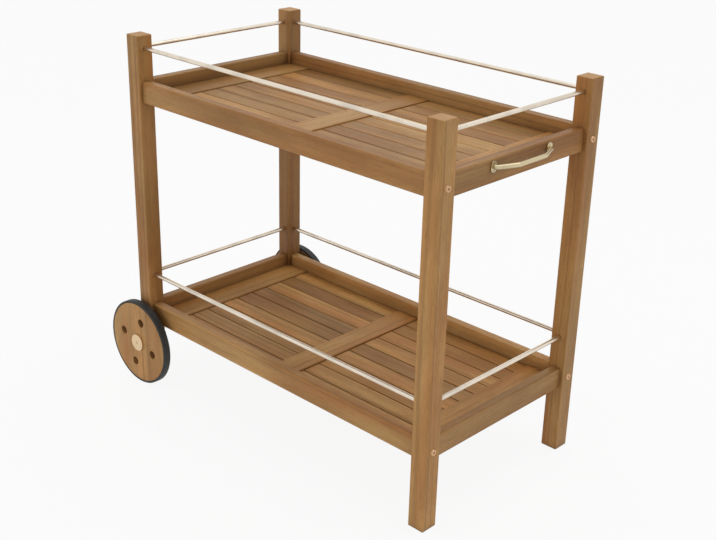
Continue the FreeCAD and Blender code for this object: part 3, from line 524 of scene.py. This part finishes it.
def dress_timber():
    # Each tone is partly the wood's own and partly painted light and shade
    for node, share in TONE_AND_PAINTED_LIGHT_SHARES.items():
        dress(node, timber(node, grain_axis(node), share))
    for node, shares in SLAT_TONE_AND_PAINTED_LIGHT_SHARES.items():
        level = node.split("_")[0]
        dress(node, slat_timber(node, level, shares))


def dress_rods():
    """Steel that is brushed along each rod: along X at the sides and along Y at the ends."""
    for axis, places in (("X", SIDES), ("Y", ENDS)):
        steel = metal(f"rod_steel_{axis}", ROD_COLOUR, axis, ROD_ROUGHNESS)
        for level in LEVELS:
            for place in places:
                dress(f"{level}_{place}_rod", steel)


def dress_handle():
    brass = metal("handle_brass", BRASS_COLOUR, "Y", BRASS_ROUGHNESS)
    dress("pull_handle", brass)
    dress("handle_screws", brass)


def dress_fasteners():
    """Coppery bolts through the posts, and zinc on the smaller fasteners and behind the wheels."""
    dress("rail_bolts", metal("bolt_copper", COPPER_COLOUR, "X", COPPER_ROUGHNESS))
    zinc = metal("zinc_steel", ZINC_COLOUR, "Y", ZINC_ROUGHNESS)
    dress("barrel_nuts", zinc)
    dress("deck_screws", zinc)
    for side in SIDES:
        for piece in ("spacer", "washer", "nut"):
            dress(f"{side}_axle_{piece}", zinc)


def dress_wheels():
    """Brass hubs, rubber tyres and plastic bushes: the discs are dressed with the timber."""
    hub = metal("hub_brass", HUB_COLOUR, "Y", HUB_ROUGHNESS)
    rubber = moulded("tyre_rubber", RUBBER_COLOUR, RUBBER_SCUFF, RUBBER_ROUGHNESS)
    bush = moulded("bush_plastic", BUSH_COLOUR, BUSH_SCUFF, BUSH_ROUGHNESS)
    for side in SIDES:
        dress(f"{side}_hub_cap", hub)
        dress(f"{side}_axle_bolt", hub)
        dress(f"{side}_wheel_tyre", rubber)
        dress(f"{side}_wheel_bush", bush)


# The studio

def seen_rays(tree):
    """1 for a ray that the camera, a mirror or a glass sends out, and 0 for the light on the object."""
    path = tree.node("LightPath").outputs
    seen = tree.maths("MAXIMUM", path["Is Camera Ray"], path["Is Glossy Ray"])
    return tree.maths("MAXIMUM", seen, path["Is Transmission Ray"])


def make_world():
    """Pale walls, dimmer on the right, under a dim ceiling: the camera and the metals see white."""
    world = bpy.data.worlds.new("studio")
    world.use_nodes = True
    tree = Tree(world.node_tree)
    toward = tree.parts(tree.node("TexCoord").outputs["Generated"])
    height = tree.spread(toward["Z"], (0, 1), (HORIZON_STRENGTH, ZENITH_STRENGTH))
    side = tree.spread(toward["X"], RIGHT_WALL_RANGE, (1, RIGHT_WALL_SHARE))
    strength = tree.maths("MULTIPLY", height, side)
    lit = tree.node("Background", {"Color": WHITE, "Strength": strength}).outputs[0]
    seen = tree.node("Background", {"Color": WHITE, "Strength": GLOW_STRENGTH}).outputs[0]
    tree.node("OutputWorld", {"Surface": tree.mix_shaders(seen_rays(tree), lit, seen)})
    bpy.context.scene.world = world


def make_floor():
    """A white floor that keeps a faint shadow where the camera sees it."""
    bpy.ops.mesh.primitive_circle_add(radius=FLOOR_RADIUS, vertices=FLOOR_SIDES, fill_type="NGON")
    floor = bpy.context.object
    floor.name = "floor"
    material, tree = new_material("floor_white")
    matte = tree.node("BsdfDiffuse", {"Color": FLOOR_COLOUR}).outputs[0]
    glow = tree.node("Emission", {"Color": WHITE, "Strength": GLOW_STRENGTH}).outputs[0]
    shown = tree.mix_shaders(SHADOW_SHARE, glow, matte)
    tree.node("OutputMaterial", {"Surface": tree.mix_shaders(seen_rays(tree), matte, shown)})
    floor.data.materials.append(material)


def make_softbox(name, place, target, size, power):
    """A round soft lamp that shines from its place to its target."""
    light = bpy.data.lights.new(name, "AREA")
    light.shape = "DISK"
    light.size = size
    light.energy = power
    lamp = bpy.data.objects.new(name, light)
    lamp.location = place
    lamp.rotation_euler = (target - place).to_track_quat("-Z", "Y").to_euler()
    bpy.context.scene.collection.objects.link(lamp)


def camera_turn():
    """The way the camera is turned, from its azimuth, elevation and roll."""
    azimuth = math.radians(CAMERA_AZIMUTH)
    elevation = math.radians(CAMERA_ELEVATION)
    reach = math.cos(elevation)
    back = Vector((math.sin(azimuth) * reach, -math.cos(azimuth) * reach, math.sin(elevation)))
    right = Vector((math.cos(azimuth), math.sin(azimuth), 0))
    level = Matrix((right, back.cross(right), back)).transposed()
    return level @ Matrix.Rotation(math.radians(CAMERA_ROLL), len(AXES), "Z")


def make_camera():
    data = bpy.data.cameras.new("camera")
    data.sensor_fit = "HORIZONTAL"
    data.sensor_width = SENSOR_WIDTH
    data.lens = FOCAL_PIXELS / FRAME_PIXELS * SENSOR_WIDTH
    camera = bpy.data.objects.new("camera", data)
    camera.matrix_world = Matrix.Translation(CAMERA_PLACE) @ camera_turn().to_4x4()
    bpy.context.scene.collection.objects.link(camera)
    bpy.context.scene.camera = camera


dress_timber()
dress_rods()
dress_handle()
dress_fasteners()
dress_wheels()
make_world()
make_floor()
middle = sum(cad_box, Vector()) / len(cad_box)
make_softbox("overhead", middle + OVERHEAD_REACH, middle, OVERHEAD_SIZE, OVERHEAD_POWER)
make_camera()
bpy.context.scene.view_settings.view_transform = "Standard"
